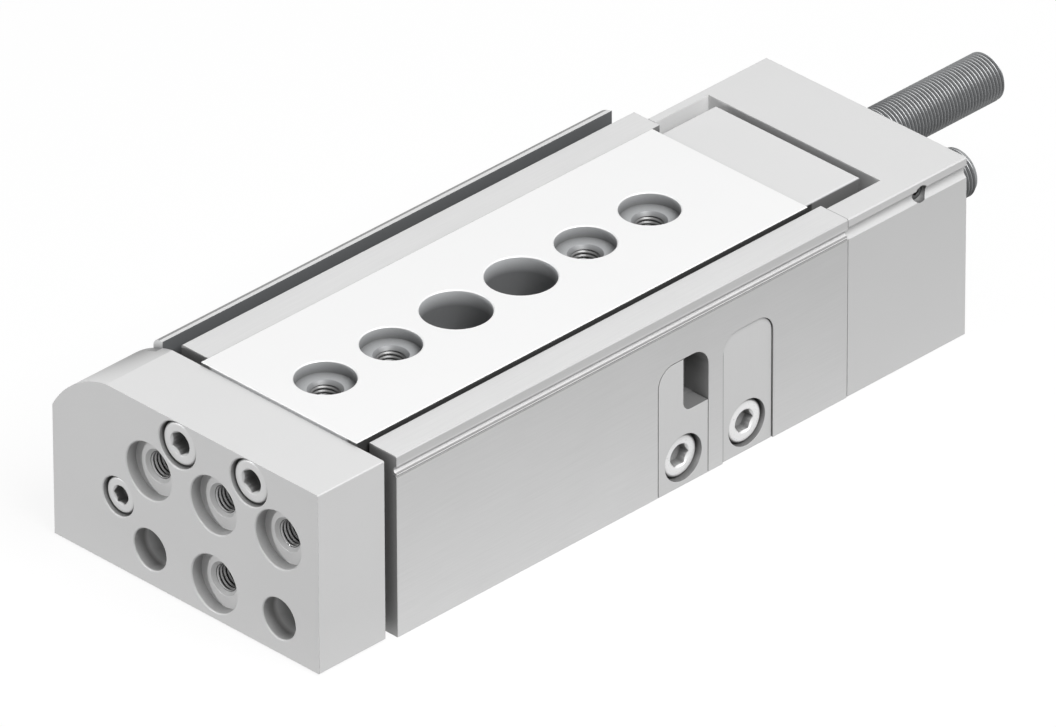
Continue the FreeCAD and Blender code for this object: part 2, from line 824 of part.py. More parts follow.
def make_housing():
    body = body_profile(housing_half_width, 0, housing_height, housing_front, housing_rear)
    y0 = housing_front - overcut
    y1 = housing_rear + overcut
    right = housing_half_width
    cuts = [
        block(-channel_half_width, channel_half_width, y0, y1, channel_floor, housing_height + overcut),
        rail_block(y0, y1),
        mirrored(rail_block(y0, y1), -1),
        bar_y(bore_diameter, y0, y1, cylinder_x, cylinder_z),
        bar_y(2 * side_groove_radius, y0, y1, right, side_groove_height),
        bar_y(2 * score_radius, y0, y1, right, score_height),
        sensor_slot_cut(),
        port_cuts(front_port_y),
    ]
    ring_front = housing_front + ring_inset
    ring_outer = bore_diameter + 2 * ring_bite
    cuts.append(bar_y(ring_outer, ring_front, ring_front + ring_thickness, cylinder_x, cylinder_z))
    cuts.extend(base_hole_cuts())
    hole_diameter = m3_diameter + 2 * screw_play
    for y in plate_centres:
        cuts.append(plate_shape(y, 0, plate_thickness))
        tip_x = plate_screw_seat() - plate_screw_length - overcut
        cuts.append(bar_x(hole_diameter, tip_x, right, y, plate_screw_height))
    window_rear = plate_first + plate_width / 2
    deep = plate_shape(plate_first, 0, sensor_pocket_depth)
    cuts.append(deep.common(window_block(sensor_pocket_depth, window_rear)))
    for x, z in cap_screw_places:
        cuts.append(bar_y(hole_diameter, cap_screw_reach() - overcut, y1, x, z))
    return body.cut(cuts).removeSplitter()


def make_rod_bearing():
    bush = ring_y(bore_diameter, rod_diameter + 2 * fit_clearance, bearing_front, bearing_rear)
    seal_start = bearing_rear - seal_width - bearing_flange
    return bush.cut(ring_y(rod_seal_diameter, rod_diameter, seal_start, seal_start + seal_width))


def make_rod_seal():
    start = bearing_rear - seal_width - bearing_flange
    return ring_y(rod_seal_diameter, rod_diameter + 2 * fit_clearance, start, start + seal_width)


def make_retaining_ring():
    start = housing_front + ring_inset
    ring = ring_y(bore_diameter + 2 * ring_bite, ring_bore_diameter, start, start + ring_thickness)
    half_gap = ring_thickness
    reach = cylinder_z + bore_diameter
    gap = block(
        cylinder_x - half_gap, cylinder_x + half_gap, start - overcut, start + 2 * overcut, cylinder_z, reach
    )
    return ring.cut(gap)


def cap_seal_start():
    return (spigot_front + housing_rear - cap_seal_section) / 2


def seam_groove():
    """A shallow groove round the sides and top, where the end cap meets the housing."""
    ring = body_profile(cap_left, cap_lift, cap_top, housing_rear, housing_rear + cap_seam_width)
    moved = [ring.translated(FreeCAD.Vector(side * cap_seam_depth, 0, -cap_seam_depth)) for side in (-1, 1)]
    return ring.cut(moved[0].common(moved[1]))


def make_end_cap():
    y1 = cap_rear
    body = body_profile(cap_left, cap_lift, cap_top, housing_rear, y1)
    spigot_diameter = bore_diameter - 2 * fit_clearance
    body = body.fuse(bar_y(spigot_diameter, spigot_front, housing_rear, cylinder_x, cylinder_z))
    half = recess_half_width
    groove_radius = (cap_groove_depth ** 2 + cap_groove_half_height ** 2) / (2 * cap_groove_depth)
    groove_x = housing_half_width + groove_radius - cap_groove_depth
    before = housing_rear - overcut
    after = cap_rear + overcut
    beside = housing_half_width + overcut
    groove_inner = bore_diameter - 2 * cap_seal_section
    groove_start = cap_seal_start() - fit_clearance
    groove_end = cap_seal_start() + cap_seal_section + fit_clearance
    cuts = [
        block(-half, half, before, recess_rear, channel_floor, cap_top + overcut),
        bar_y(2 * groove_radius, before, after, groove_x, cap_groove_height),
        seam_groove(),
        bar_x(cross_hole_diameter, cross_hole_end, beside, cross_hole_y, cross_hole_height),
        ring_y(bore_diameter + overcut, groove_inner, groove_start, groove_end),
        port_cuts(rear_port_y),
        bar_y(port_passage, spigot_front - overcut, rear_port_y, cylinder_x, cylinder_z),
    ]
    for x in (long_stop_x, short_stop_x):
        cuts.append(bar_y(stop_diameter + 2 * stop_fit, recess_rear - overcut, after, x, stop_height))
        tip_hole = stop_tip_diameter + 2 * stop_fit
        cuts.append(bar_y(tip_hole, block_rear, recess_rear, x, stop_height))
    for x, z in cap_screw_places:
        cuts.append(bar_y(m3_diameter + 2 * screw_play, before, after, x, z))
        cuts.append(bar_y(m3_head_diameter + 2 * head_play, cap_rear - screw_seat, after, x, z))
    return body.cut(cuts).removeSplitter()


def make_cap_screws():
    screw = socket_screw(m3_diameter, m3_head_diameter, m3_head_height, m3_hex, cap_screw_length)
    seat_y = cap_rear - screw_seat
    return Part.makeCompound(
        [placed(screw, x, seat_y, z, along_z, 180.0) for x, z in cap_screw_places]
    )


def make_cap_seal():
    outer = bore_diameter - 2 * fit_clearance
    inner = bore_diameter - 2 * cap_seal_section + 2 * fit_clearance
    return ring_y(outer, inner, cap_seal_start(), cap_seal_start() + cap_seal_section)


# Stops: a threaded sleeve with a hexagon at the rear and a buffer pin in its front end

def make_stop_sleeve(x, stand):
    front = recess_rear
    rear = cap_rear + stand
    sleeve = bar_y(stop_diameter, front, rear, x, stop_height)
    ends = [edge for edge in sleeve.Edges if edge.BoundBox.YLength < 1e-6]
    sleeve = sleeve.makeChamfer(stop_edge, ends)
    seat_diameter = stop_tip_diameter + 2 * fit_clearance
    seat = bar_y(seat_diameter, front - overcut, front + stop_tip_seat, x, stop_height)
    socket = hexagon_y(stop_hex, rear - stop_hex_depth, rear + overcut, x, stop_height)
    return sleeve.cut([seat, socket])


def make_stop_buffer(x):
    tip = bar_y(stop_tip_diameter, block_rear + stop_rest_gap, recess_rear + stop_tip_seat, x, stop_height)
    nose = [edge for edge in tip.Edges if abs(edge.BoundBox.YMax - block_rear - stop_rest_gap) < 1e-6]
    return tip.makeChamfer(stop_edge, nose)


def make_clamp_screw():
    y = cross_hole_y
    z = cross_hole_height
    screw = bar_x(cross_hole_diameter, clamp_screw_inner_x, clamp_screw_outer_x, y, z)
    hexagon = hexagon_y(cross_hole_diameter / 2, 0, overcut, 0, 0)
    return screw.cut(placed(hexagon, clamp_screw_outer_x, y, z, along_z, 90.0))


def make_clamp_pin():
    pin = bar_x(clamp_pin_diameter, cross_hole_end, clamp_screw_inner_x, cross_hole_y, cross_hole_height)
    scallop = stop_diameter + 2 * stop_fit
    half_length = overcut * 2
    scallops = []
    for x in (long_stop_x, short_stop_x):
        scallops.append(bar_y(scallop, cross_hole_y - half_length, cross_hole_y + half_length, x, stop_height))
    return pin.cut(scallops)


parts = {
    "slide_table": make_slide_table(),
    "yoke_plate": make_yoke_plate(),
    "yoke_screws": make_yoke_screws(),
    "rod_screw": make_rod_screw(),
    "side_guard": make_side_guard(),
    "guard_screw": make_guard_screw(),
    "piston_rod": make_piston_rod(),
    "piston": make_piston(),
    "piston_seals": make_piston_seals(),
    "piston_magnet": make_piston_magnet(),
    "piston_buffers": make_piston_buffers(),
    "housing": make_housing(),
    "side_plate_front": make_side_plate(0),
    "side_plate_rear": make_side_plate(1),
    "side_plate_screws": make_plate_screws(),
    "guide_rail_right": make_guide_rail(1),
    "guide_rail_left": make_guide_rail(-1),
    "rod_bearing": make_rod_bearing(),
    "rod_seal": make_rod_seal(),
    "retaining_ring": make_retaining_ring(),
    "end_cap": make_end_cap(),
    "cap_screws": make_cap_screws(),
    "cap_seal": make_cap_seal(),
    "clamp_screw": make_clamp_screw(),
    "clamp_pin": make_clamp_pin(),
    "ball_cage_right": make_ball_cage(1),
    "balls_right": make_balls(1),
    "ball_cage_left": make_ball_cage(-1),
    "balls_left": make_balls(-1),
    "long_stop_sleeve": make_stop_sleeve(long_stop_x, long_stop_stand),
    "long_stop_buffer": make_stop_buffer(long_stop_x),
    "short_stop_sleeve": make_stop_sleeve(short_stop_x, short_stop_stand),
    "short_stop_buffer": make_stop_buffer(short_stop_x),
}

for name, shape in parts.items():
    export(name, shape)
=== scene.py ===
"""The looks of the pneumatic mini slide: finishes, threads, screws, light and camera.

Lengths are in metres in the part's own frame: X to the right, Y to the rear, Z up.
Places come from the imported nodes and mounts, so the details follow the solids.
"""

import json
import math
from dataclasses import dataclass

import bmesh
import bpy
from mathutils import Matrix, Vector


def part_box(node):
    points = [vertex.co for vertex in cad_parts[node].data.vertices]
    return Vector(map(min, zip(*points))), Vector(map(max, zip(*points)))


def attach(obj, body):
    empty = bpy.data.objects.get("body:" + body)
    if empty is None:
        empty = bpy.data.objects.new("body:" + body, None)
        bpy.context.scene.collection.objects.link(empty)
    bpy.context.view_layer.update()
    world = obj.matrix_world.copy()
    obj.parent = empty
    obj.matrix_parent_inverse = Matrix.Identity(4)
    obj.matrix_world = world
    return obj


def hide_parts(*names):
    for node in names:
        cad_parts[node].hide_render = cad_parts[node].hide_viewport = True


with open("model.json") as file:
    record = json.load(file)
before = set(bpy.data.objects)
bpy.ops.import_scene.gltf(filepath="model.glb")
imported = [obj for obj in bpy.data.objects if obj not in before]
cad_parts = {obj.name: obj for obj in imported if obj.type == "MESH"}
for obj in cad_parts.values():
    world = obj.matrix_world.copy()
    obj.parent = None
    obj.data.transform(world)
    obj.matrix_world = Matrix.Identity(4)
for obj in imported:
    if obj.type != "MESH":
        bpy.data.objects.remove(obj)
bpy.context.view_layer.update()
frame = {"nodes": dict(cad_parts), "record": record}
nodes = frame["nodes"]
mounts = {mount["name"]: mount for mount in frame["record"]["mounts"]}

mm = 0.001
right = Vector((1, 0, 0))
front = Vector((0, -1, 0))
rear = Vector((0, 1, 0))

# Camera: the view fitted to the photograph, measured from the yoke's lower front corner
image_width_pixels = 1056
focal_length_pixels = 18255.4
sensor_width = 36.0
view_azimuth = math.radians(44.98)
view_elevation = math.radians(31.36)
view_roll = math.radians(-0.18)
view_distance = 1967.4 * mm
view_corner = Vector((16.2, -42.1, 0.24)) * mm
view_shift_right = 22.46 * mm
view_shift_up = 33.55 * mm
nearest_sight = 10 * mm
farthest_sight = 10.0

# Light levels, where 1 shows a colour as it is written
world_level = 0.27
key_level = 1.05
key_direction = Vector((0.6, -0.05, 0.8)).normalized()
key_width = 0.6
front_level = 0.41
front_direction = Vector((-0.53, -0.84, 0.08)).normalized()
front_width = 0.07
lamp_distance = 0.95
floor_bounce = 0.15
floor_glow = 0.9
floor_half_width = 3.0
floor_drop = 0.02 * mm

# Thread shape: how deep it is and where its crest and root lie, as shares of the pitch
thread_depth_share = 0.6134
crest_end = 0.125
root_start = 0.4375
root_end = 0.6875
rows_per_turn = 4
coarse_steps = 36
fine_steps = 72

# Socket and head shape, as shares of the key's width or the head's radius
mouth_share = 1.2
drill_share = 0.8
drill_point_share = 0.5
head_rounding_share = 0.17
sixth_of_a_turn = math.radians(60)

# Stops: M6 x 0.5 sleeves with a socket in the rear and a seat for their pin in the front
stop_pitch = 0.5 * mm
stop_key_width = 2.5 * mm
stop_socket_depth = 2.5 * mm
stop_seat_radius = 1.5 * mm
stop_seat_depth = 4.0 * mm
stop_end_chamfer = 0.3 * mm

# Threaded linings of the holes: ring pitch, depth and section
hole_pitch = 0.5 * mm
table_thread_depth = 4.4 * mm
yoke_thread_depth = 7.0 * mm
base_thread_depth = 6.0 * mm
port_pitch = 0.8 * mm
port_thread_depth = 3.2 * mm
port_inset = -0.35 * mm
lining_gap = 0.004 * mm
lining_thickness = 0.01 * mm
lining_ridge_height = 0.15 * mm

# Meshes: what counts as one corner, when an edge stays sharp, and how round a ball is
same_corner = 0.0002 * mm
same_solid_corner = 0.001 * mm
sharp_edge = math.radians(28)
ball_segments = 32
ball_rings = 20

# Shaders: how finely they sample, and between which values most noise lies
openness_samples = 8
bevel_samples = 4
usual_noise = (0.3, 0.7)

# Widths over which one tone turns into the next
hairline_fade = 0.03 * mm
thin_fade = 0.05 * mm
narrow_fade = 0.1 * mm
short_fade = 0.2 * mm
soft_fade = 0.5 * mm


@dataclass
class SocketScrew:
    """The sizes of a socket screw that its solid leaves out."""

    diameter: float
    pitch: float
    head_height: float
    key_width: float
    socket_depth: float


@dataclass
class GrooveLine:
    """A fine line along the housing's groove, at a drop below the groove's middle, painted as a
    highlight where its tone is light and as shade where it is dark.
    """

    drop: float
    half_width: float
    tone: float


yoke_screw = SocketScrew(diameter=3.0 * mm, pitch=0.5 * mm, head_height=3.0 * mm,
                         key_width=2.5 * mm, socket_depth=2.0 * mm)
rod_screw = SocketScrew(diameter=2.5 * mm, pitch=0.45 * mm, head_height=2.5 * mm,
                        key_width=2.0 * mm, socket_depth=1.3 * mm)
guard_screw = SocketScrew(diameter=2.0 * mm, pitch=0.4 * mm, head_height=1.4 * mm,
                          key_width=1.5 * mm, socket_depth=0.8 * mm)
cap_screw = SocketScrew(diameter=3.0 * mm, pitch=0.5 * mm, head_height=3.0 * mm,
                        key_width=2.5 * mm, socket_depth=1.6 * mm)
plate_screw = SocketScrew(diameter=3.0 * mm, pitch=0.5 * mm, head_height=1.7 * mm,
                          key_width=2.5 * mm, socket_depth=1.3 * mm)

# Painted highlight and painted shade lines along the housing's groove
painted_groove_lines = (
    GrooveLine(drop=-0.62 * mm, half_width=0.07 * mm, tone=0.64),
    GrooveLine(drop=0.25 * mm, half_width=0.13 * mm, tone=1.0),
    GrooveLine(drop=0.44 * mm, half_width=0.04 * mm, tone=0.5),
    GrooveLine(drop=0.6 * mm, half_width=0.09 * mm, tone=1.0),
    GrooveLine(drop=0.81 * mm, half_width=0.09 * mm, tone=0.42),
)


# Camera, light and floor

def add_camera():
    back = Vector((
        math.sin(view_azimuth) * math.cos(view_elevation),
        -math.cos(view_azimuth) * math.cos(view_elevation),
        math.sin(view_elevation),
    ))
    level_right = Vector((math.cos(view_azimuth), math.sin(view_azimuth), 0))
    level_up = back.cross(level_right)
    across = level_right * math.cos(view_roll) + level_up * math.sin(view_roll)
    up = level_up * math.cos(view_roll) - level_right * math.sin(view_roll)
    place = view_corner + view_shift_right * across + view_shift_up * up + view_distance * back
    data = bpy.data.cameras.new("photo_view")
    data.sensor_fit = "HORIZONTAL"
    data.sensor_width = sensor_width
    data.lens = sensor_width * focal_length_pixels / image_width_pixels
    data.clip_start = nearest_sight
    data.clip_end = farthest_sight
    camera = bpy.data.objects.new("photo_view", data)
    bpy.context.scene.collection.objects.link(camera)
    turn = Matrix((across, up, back)).transposed().to_4x4()
    camera.matrix_world = Matrix.Translation(place) @ turn
    bpy.context.scene.camera = camera


def seen_directly(graph):
    """1 where the camera, a mirror image or a clear piece shows the background, else 0."""
    path = graph.add("LightPath")
    seen = graph.math("MAXIMUM", path.outputs["Is Camera Ray"], path.outputs["Is Glossy Ray"])
    return graph.math("MAXIMUM", seen, path.outputs["Is Transmission Ray"])


def add_world():
    """Even light from above the horizon, none from below it, and a white background."""
    world = bpy.data.worlds.new("studio")
    bpy.context.scene.world = world
    world.use_nodes = True
    graph = Graph(world.node_tree)
    output = graph.add("OutputWorld")
    background = graph.add("Background")
    height = graph.part_of(graph.add("TexCoord").outputs["Generated"], "Z")
    above = graph.math("GREATER_THAN", height, 0.0)
    lit = graph.mix(above, grey(0.0), grey(world_level))
    graph.join(graph.mix(seen_directly(graph), lit, grey(1.0)), background.inputs["Color"])
    graph.join(background.outputs["Background"], output.inputs["Surface"])


def add_lamp(name, direction, level, width):
    """A square lamp that lights a face turned to it at the given level."""
    data = bpy.data.lights.new(name, "AREA")
    data.shape = "SQUARE"
    data.size = width
    data.energy = level * (math.pi * lamp_distance) ** 2
    light = bpy.data.objects.new(name, data)
    bpy.context.scene.collection.objects.link(light)
    light.location = direction * lamp_distance
    light.rotation_euler = direction.to_track_quat("Z", "Y").to_euler()


def add_floor():
    """A floor that looks white and keeps the shadow, but throws little light back."""
    mesh = bpy.data.meshes.new("floor")
    ends = (-floor_half_width, floor_half_width)
    corners = [(x, y, -floor_drop) for x in ends for y in ends]
    mesh.from_pydata(corners, [], [(0, 2, 3, 1)])
    floor = bpy.data.objects.new("floor", mesh)
    bpy.context.scene.collection.objects.link(floor)
    material = bpy.data.materials.new("floor")
    material.use_nodes = True
    graph = Graph(material.node_tree)
    output = graph.add("OutputMaterial")
    matt = graph.add("BsdfDiffuse")
    glow = graph.add("Emission")
    glow.inputs["Color"].default_value = grey(1.0)
    seen = seen_directly(graph)
    graph.join(graph.mix(seen, grey(floor_bounce), grey(1.0)), matt.inputs["Color"])
    mixer = graph.add("MixShader")
    graph.join(graph.product(seen, floor_glow), mixer.inputs[0])
    graph.join(matt.outputs["BSDF"], mixer.inputs[1])
    graph.join(glow.outputs["Emission"], mixer.inputs[2])
    graph.join(mixer.outputs["Shader"], output.inputs["Surface"])
    mesh.materials.append(material)
    floor.visible_shadow = False


# Shader graphs

class Graph:
    """The empty node tree of one material or world, with short calls to fill it.

    A share is a number from 0 to 1.
    """

    def __init__(self, tree):
        tree.nodes.clear()
        self.tree = tree

    def add(self, kind, **settings):
        made = self.tree.nodes.new("ShaderNode" + kind)
        for name, value in settings.items():
            setattr(made, name, value)
        return made

    def join(self, source, target):
        self.tree.links.new(source, target)

    def feed(self, socket, value):
        if isinstance(value, bpy.types.NodeSocket):
            self.join(value, socket)
        else:
            socket.default_value = value

    def math(self, operation, first, second=0.0):
        made = self.add("Math", operation=operation)
        self.feed(made.inputs[0], first)
        self.feed(made.inputs[1], second)
        return made.outputs[0]

    def product(self, first, *others):
        """The shares multiplied, so 1 only where all of them are 1."""
        for other in others:
            first = self.math("MULTIPLY", first, other)
        return first

    def spread(self, value, start, end, low=0.0, high=1.0):
        """The value stretched so that start gives low and end gives high."""
        made = self.add("MapRange")
        for socket, amount in zip(made.inputs, (value, start, end, low, high)):
            self.feed(socket, amount)
        return made.outputs[0]

    def mix(self, share, first, second):
        made = self.add("Mix", data_type="RGBA")
        self.feed(made.inputs[0], share)
        self.feed(made.inputs[6], first)
        self.feed(made.inputs[7], second)
        return made.outputs[2]

    def noise(self, stretch, size, detail=3.0):
        """Noise from 0 to 1 whose grains are about this size, stretched along the axes."""
        place = self.add("TexCoord")
        scaled = self.add("VectorMath", operation="MULTIPLY")
        self.join(place.outputs["Object"], scaled.inputs[0])
        scaled.inputs[1].default_value = stretch
        made = self.add("TexNoise")
        self.join(scaled.outputs[0], made.inputs["Vector"])
        made.inputs["Scale"].default_value = 1 / size
        made.inputs["Detail"].default_value = detail
        return self.spread(made.outputs[0], *usual_noise)

    def openness(self, reach):
        """1 on open faces and less down to 0 deep in a hole or a gap."""
        made = self.add("AmbientOcclusion", samples=openness_samples)
        made.inputs["Distance"].default_value = reach
        return made.outputs["AO"]

    def part_of(self, vector, axis):
        parts = self.add("SeparateXYZ")
        self.join(vector, parts.inputs[0])
        return parts.outputs[axis]

    def place(self, axis):
        """Where the shaded point lies along X, Y or Z."""
        return self.part_of(self.add("TexCoord").outputs["Object"], axis)

    def facing(self, axis):
        """1 on a face that points along the axis, -1 on one that points the other way."""
        return self.part_of(self.add("TexCoord").outputs["Normal"], axis)

    def past(self, axis, start, end):
        """A share that goes from 0 at one place on the axis to 1 at the other."""
        return self.spread(self.place(axis), start, end)

    def turned(self, axis, start, end):
        """A share that goes from 0 to 1 as a face turns from one facing to the other."""
        return self.spread(self.facing(axis), start, end)


def grey(level, blue=0.0):
    """A grey of this level, bluer with a positive share and warmer with a negative one."""
    return (level * (1 - blue), level, level * (1 + blue), 1.0)


# Tones: own colours, and painted light and shade where one piece is lighter or darker than elsewhere

def behind_housing(graph):
    """1 behind the housing's rear end, where the tail lies in the end cap's recess."""
    rear_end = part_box("housing")[1].y
    return graph.past("Y", rear_end - narrow_fade, rear_end)


def table_tone(graph):
    """White on the ground top of the table and grey on the tail, with painted shade down the holes
    and on the sides, and painted light on the holes' ledges.
    """
    ground_white = grey(0.88)
    tail_grey = grey(0.73)
    painted_wall_light = grey(0.66, 0.02)
    painted_deep_shade = grey(0.18, 0.02)
    painted_tail_side_shade = grey(0.26)
    painted_channel_side_shade = grey(0.05)
    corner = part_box("slide_table")[1]
    ground_floor = corner.z - 0.15 * mm
    tail_floor = corner.z - 0.7 * mm
    light_depth = corner.z - 0.3 * mm
    dark_depth = corner.z - 2.0 * mm
    side_start = corner.x * 0.85
    side_end = corner.x * 0.9
    # Painted shade deepens down the hole walls, and painted light brightens the ledges that face up
    wall_light = graph.past("Z", dark_depth, light_depth)
    ledge_light = graph.product(graph.turned("Z", 0.85, 0.95), 0.7)
    light_share = graph.math("MAXIMUM", wall_light, ledge_light)
    hole = graph.mix(light_share, painted_deep_shade, painted_wall_light)
    tail_share = graph.product(graph.past("Z", tail_floor - soft_fade, tail_floor),
                               graph.turned("Z", 0.5, 0.9))
    ground_share = graph.past("Z", ground_floor - thin_fade, ground_floor)
    top = graph.mix(tail_share, hole, tail_grey)
    top = graph.mix(ground_share, top, ground_white)
    # Painted shade on the table's sides, beside the channel and round the tail
    away = graph.math("ABSOLUTE", graph.place("X"))
    side_share = graph.product(graph.spread(away, side_start, side_end), graph.turned("Z", 0.5, 0.3))
    side = graph.mix(behind_housing(graph), painted_channel_side_shade, painted_tail_side_shade)
    return graph.mix(side_share, top, side)


def table_gap_shade(graph):
    """Painted shade: darkest between the table and the housing, lighter in the holes and round the
    tail.
    """
    beside_table = grey(0.05)
    in_holes = grey(0.1)
    round_tail = grey(0.16)
    half_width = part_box("slide_table")[1].x
    hole_start = half_width * 0.6
    hole_end = half_width * 0.5
    away = graph.math("ABSOLUTE", graph.place("X"))
    tone = graph.mix(graph.spread(away, hole_start, hole_end), beside_table, in_holes)
    return graph.mix(behind_housing(graph), tone, round_tail)


def stop_tone(graph):
    """Dark rolled steel with a painted highlight band along its upper side and painted shade on its
    lower side.
    """
    painted_light_band = grey(0.95, 0.01)
    dark_steel = grey(0.3, 0.02)
    painted_shade_below = grey(0.14, 0.02)
    # Painted highlight band along the upper side, and painted shade on the lower side
    highlight_share = graph.product(graph.turned("Z", 0.5, 0.85), graph.turned("X", -0.3, 0.1))
    tone = graph.mix(highlight_share, dark_steel, painted_light_band)
    return graph.mix(graph.turned("Z", 0.0, -0.6), tone, painted_shade_below)


def flank_tone(graph, light, dark, rear_share):
    """Aluminium whose right side carries a painted shade that grows upwards and to the rear, from
    light to dark.
    """
    other_sides = grey(0.7)
    low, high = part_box("housing")
    # Painted shading on the right side, darker upwards and to the rear
    along = graph.spread(graph.place("Y"), low.y, high.y, 0.0, rear_share)
    upward = graph.spread(graph.place("Z"), low.z, high.z, 0.0, 1 - rear_share)
    side = graph.mix(graph.math("ADD", along, upward), grey(light), grey(dark))
    return graph.mix(graph.turned("X", 0.5, 0.95), other_sides, side)


def cap_tone(graph):
    """The flank's tone, with painted light on the recess's left wall, and painted shade in the
    groove and the cross hole.
    """
    painted_recess_light = grey(0.92)
    painted_groove_shade = grey(0.6)
    painted_cross_hole_shade = grey(0.12)
    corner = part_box("end_cap")[1]
    wall_start = -1 * mm
    wall_end = -3 * mm
    groove_top = corner.z - 0.8 * mm
    groove_bottom_x = corner.x - 1.5 * mm
    # Painted light on the recess's left wall
    wall_share = graph.product(graph.turned("X", 0.5, 0.8), graph.past("X", wall_start, wall_end))
    tone = flank_tone(graph, light=0.73, dark=0.59, rear_share=0.45)
    tone = graph.mix(wall_share, tone, painted_recess_light)
    # Painted shade in the groove, and further down in the cross hole
    groove_share = graph.product(graph.turned("Z", 0.3, 0.7),
                                 graph.past("Z", groove_top, groove_top - short_fade),
                                 graph.past("X", groove_bottom_x, groove_bottom_x + narrow_fade))
    tone = graph.mix(groove_share, tone, painted_groove_shade)
    return graph.mix(in_cross_hole(graph), tone, painted_cross_hole_shade)


def in_cross_hole(graph):
    """1 on the walls of the end cap's cross hole, round the clamp screw's axis."""
    low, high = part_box("clamp_screw")
    middle = (low + high) / 2
    radius = (high.z - low.z) / 2
    flat = graph.add("VectorMath", operation="MULTIPLY")
    graph.join(graph.add("TexCoord").outputs["Object"], flat.inputs[0])
    flat.inputs[1].default_value = (0.0, 1.0, 1.0)
    away = graph.add("VectorMath", operation="DISTANCE")
    graph.join(flat.outputs[0], away.inputs[0])
    away.inputs[1].default_value = (0.0, middle.y, middle.z)
    inside = graph.spread(away.outputs["Value"], radius + narrow_fade, radius + thin_fade)
    return graph.product(inside, graph.turned("X", 0.6, 0.4))


def housing_tone(graph):
    """The flank's tone with a darker strip over its groove, painted shade on the chamfered top edge,
    and painted highlight and shade lines along the groove.
    """
    strip_grey = grey(0.55)
    painted_edge_shade = grey(0.58)
    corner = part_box("housing")[1]
    strip_bottom = corner.z - 1.5 * mm
    edge_bottom = corner.z - 0.4 * mm
    groove_height = corner.z - 1.8 * mm
    groove_bottom_x = corner.x - 0.6 * mm
    strip_share = graph.product(graph.turned("X", 0.5, 0.95),
                                graph.past("Z", strip_bottom, strip_bottom + short_fade))
    tone = flank_tone(graph, light=0.74, dark=0.515, rear_share=0.33)
    tone = graph.mix(strip_share, tone, strip_grey)
    # Painted shade on the chamfered top edge, against its highlight
    edge_share = graph.product(graph.turned("X", 0.15, 0.4), graph.turned("Z", 0.2, 0.4),
                               graph.past("Z", edge_bottom, edge_bottom + narrow_fade))
    tone = graph.mix(edge_share, tone, painted_edge_shade)
    outside = graph.past("X", groove_bottom_x, groove_bottom_x + narrow_fade)
    # Painted highlight and shade lines along the groove
    for line in painted_groove_lines:
        away = graph.math("SUBTRACT", graph.place("Z"), groove_height - line.drop)
        away = graph.math("ABSOLUTE", away)
        line_share = graph.spread(away, line.half_width + hairline_fade, line.half_width)
        tone = graph.mix(graph.product(line_share, outside), tone, grey(line.tone))
    return tone


def guard_tone(graph):
    """Light on top, with painted shade on the outer face and darker painted shade on the inner one.
    """
    top = grey(0.7)
    painted_outer_shade = grey(0.24)
    painted_inner_shade = grey(0.155, 0.03)
    # Painted shade on the outer and the inner faces
    tone = graph.mix(graph.turned("X", -0.02, -0.12), top, painted_outer_shade)
    return graph.mix(graph.turned("X", 0.3, 0.8), tone, painted_inner_shade)


def yoke_tone(graph):
    """Aluminium, lighter low down, with painted light on top and painted shade on its rounded edge
    that grows towards the rear.
    """
    plain = grey(0.67)
    low_down = grey(0.7)
    top = grey(0.71)
    painted_round_shade = grey(0.25)
    low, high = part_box("yoke_plate")
    light_height = low.z + 6 * mm
    round_start = low.y + 0.5 * mm
    round_end = high.y - 1 * mm
    round_share = graph.product(graph.turned("X", -0.1, -0.5), graph.turned("Z", 0.2, 0.5),
                                graph.past("Y", round_start, round_end))
    tone = graph.mix(graph.past("Z", light_height, low.z), plain, low_down)
    # Painted light on the top faces
    tone = graph.mix(graph.turned("Z", 0.7, 0.9), tone, top)
    # Painted shade on the rounded edge, growing towards the rear
    return graph.mix(round_share, tone, painted_round_shade)


def yoke_gap_shade_and_light(graph):
    """Painted shade on the walls of the sleeve seats, with a band of painted light a little deeper
    in the pin holes.
    """
    painted_seat_shade = grey(0.27)
    painted_light_band = grey(0.95)
    painted_deep_shade = grey(0.55)
    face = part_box("yoke_plate")[0].y
    seat_depth = face + 1.5 * mm
    band_start = face + 2.1 * mm
    band_end = face + 2.2 * mm
    deep = face + 3.2 * mm
    near = graph.mix(graph.past("Y", seat_depth, band_start), painted_seat_shade, painted_light_band)
    return graph.mix(graph.past("Y", band_end, deep), near, painted_deep_shade)


def plate_tone(graph):
    """Aluminium with painted shade on the window sill, and a painted shadow down the sunk rear
    plate's front edge.
    """
    plain = grey(0.66)
    dark = grey(0.24)
    low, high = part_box("side_plate_rear")
    edge_shadow_start = low.y - 0.01 * mm
    edge_shadow_end = low.y + 0.14 * mm
    edge_shadow_fade_end = low.y + 0.2 * mm
    edge_shadow_top = high.z - 1.5 * mm
    edge_shadow_share = graph.product(graph.past("Y", edge_shadow_start, low.y),
                               graph.past("Y", edge_shadow_fade_end, edge_shadow_end),
                               graph.past("Z", edge_shadow_top, edge_shadow_top - soft_fade))
    # Painted shade on the window sill, which faces up
    tone = graph.mix(graph.turned("Z", 0.5, 0.8), plain, dark)
    # Painted shadow of the recess's edge down the rear plate's front
    return graph.mix(edge_shadow_share, tone, dark)


# Finishes

every_way = (1.0, 1.0, 1.0)
along_slide = (1.0, 0.03, 1.0)
across_slide = (0.03, 1.0, 1.0)
up_and_down = (1.0, 1.0, 0.03)
cloud_size = 9 * mm
relief_depth = 0.01 * mm
roughness_spread = 0.12


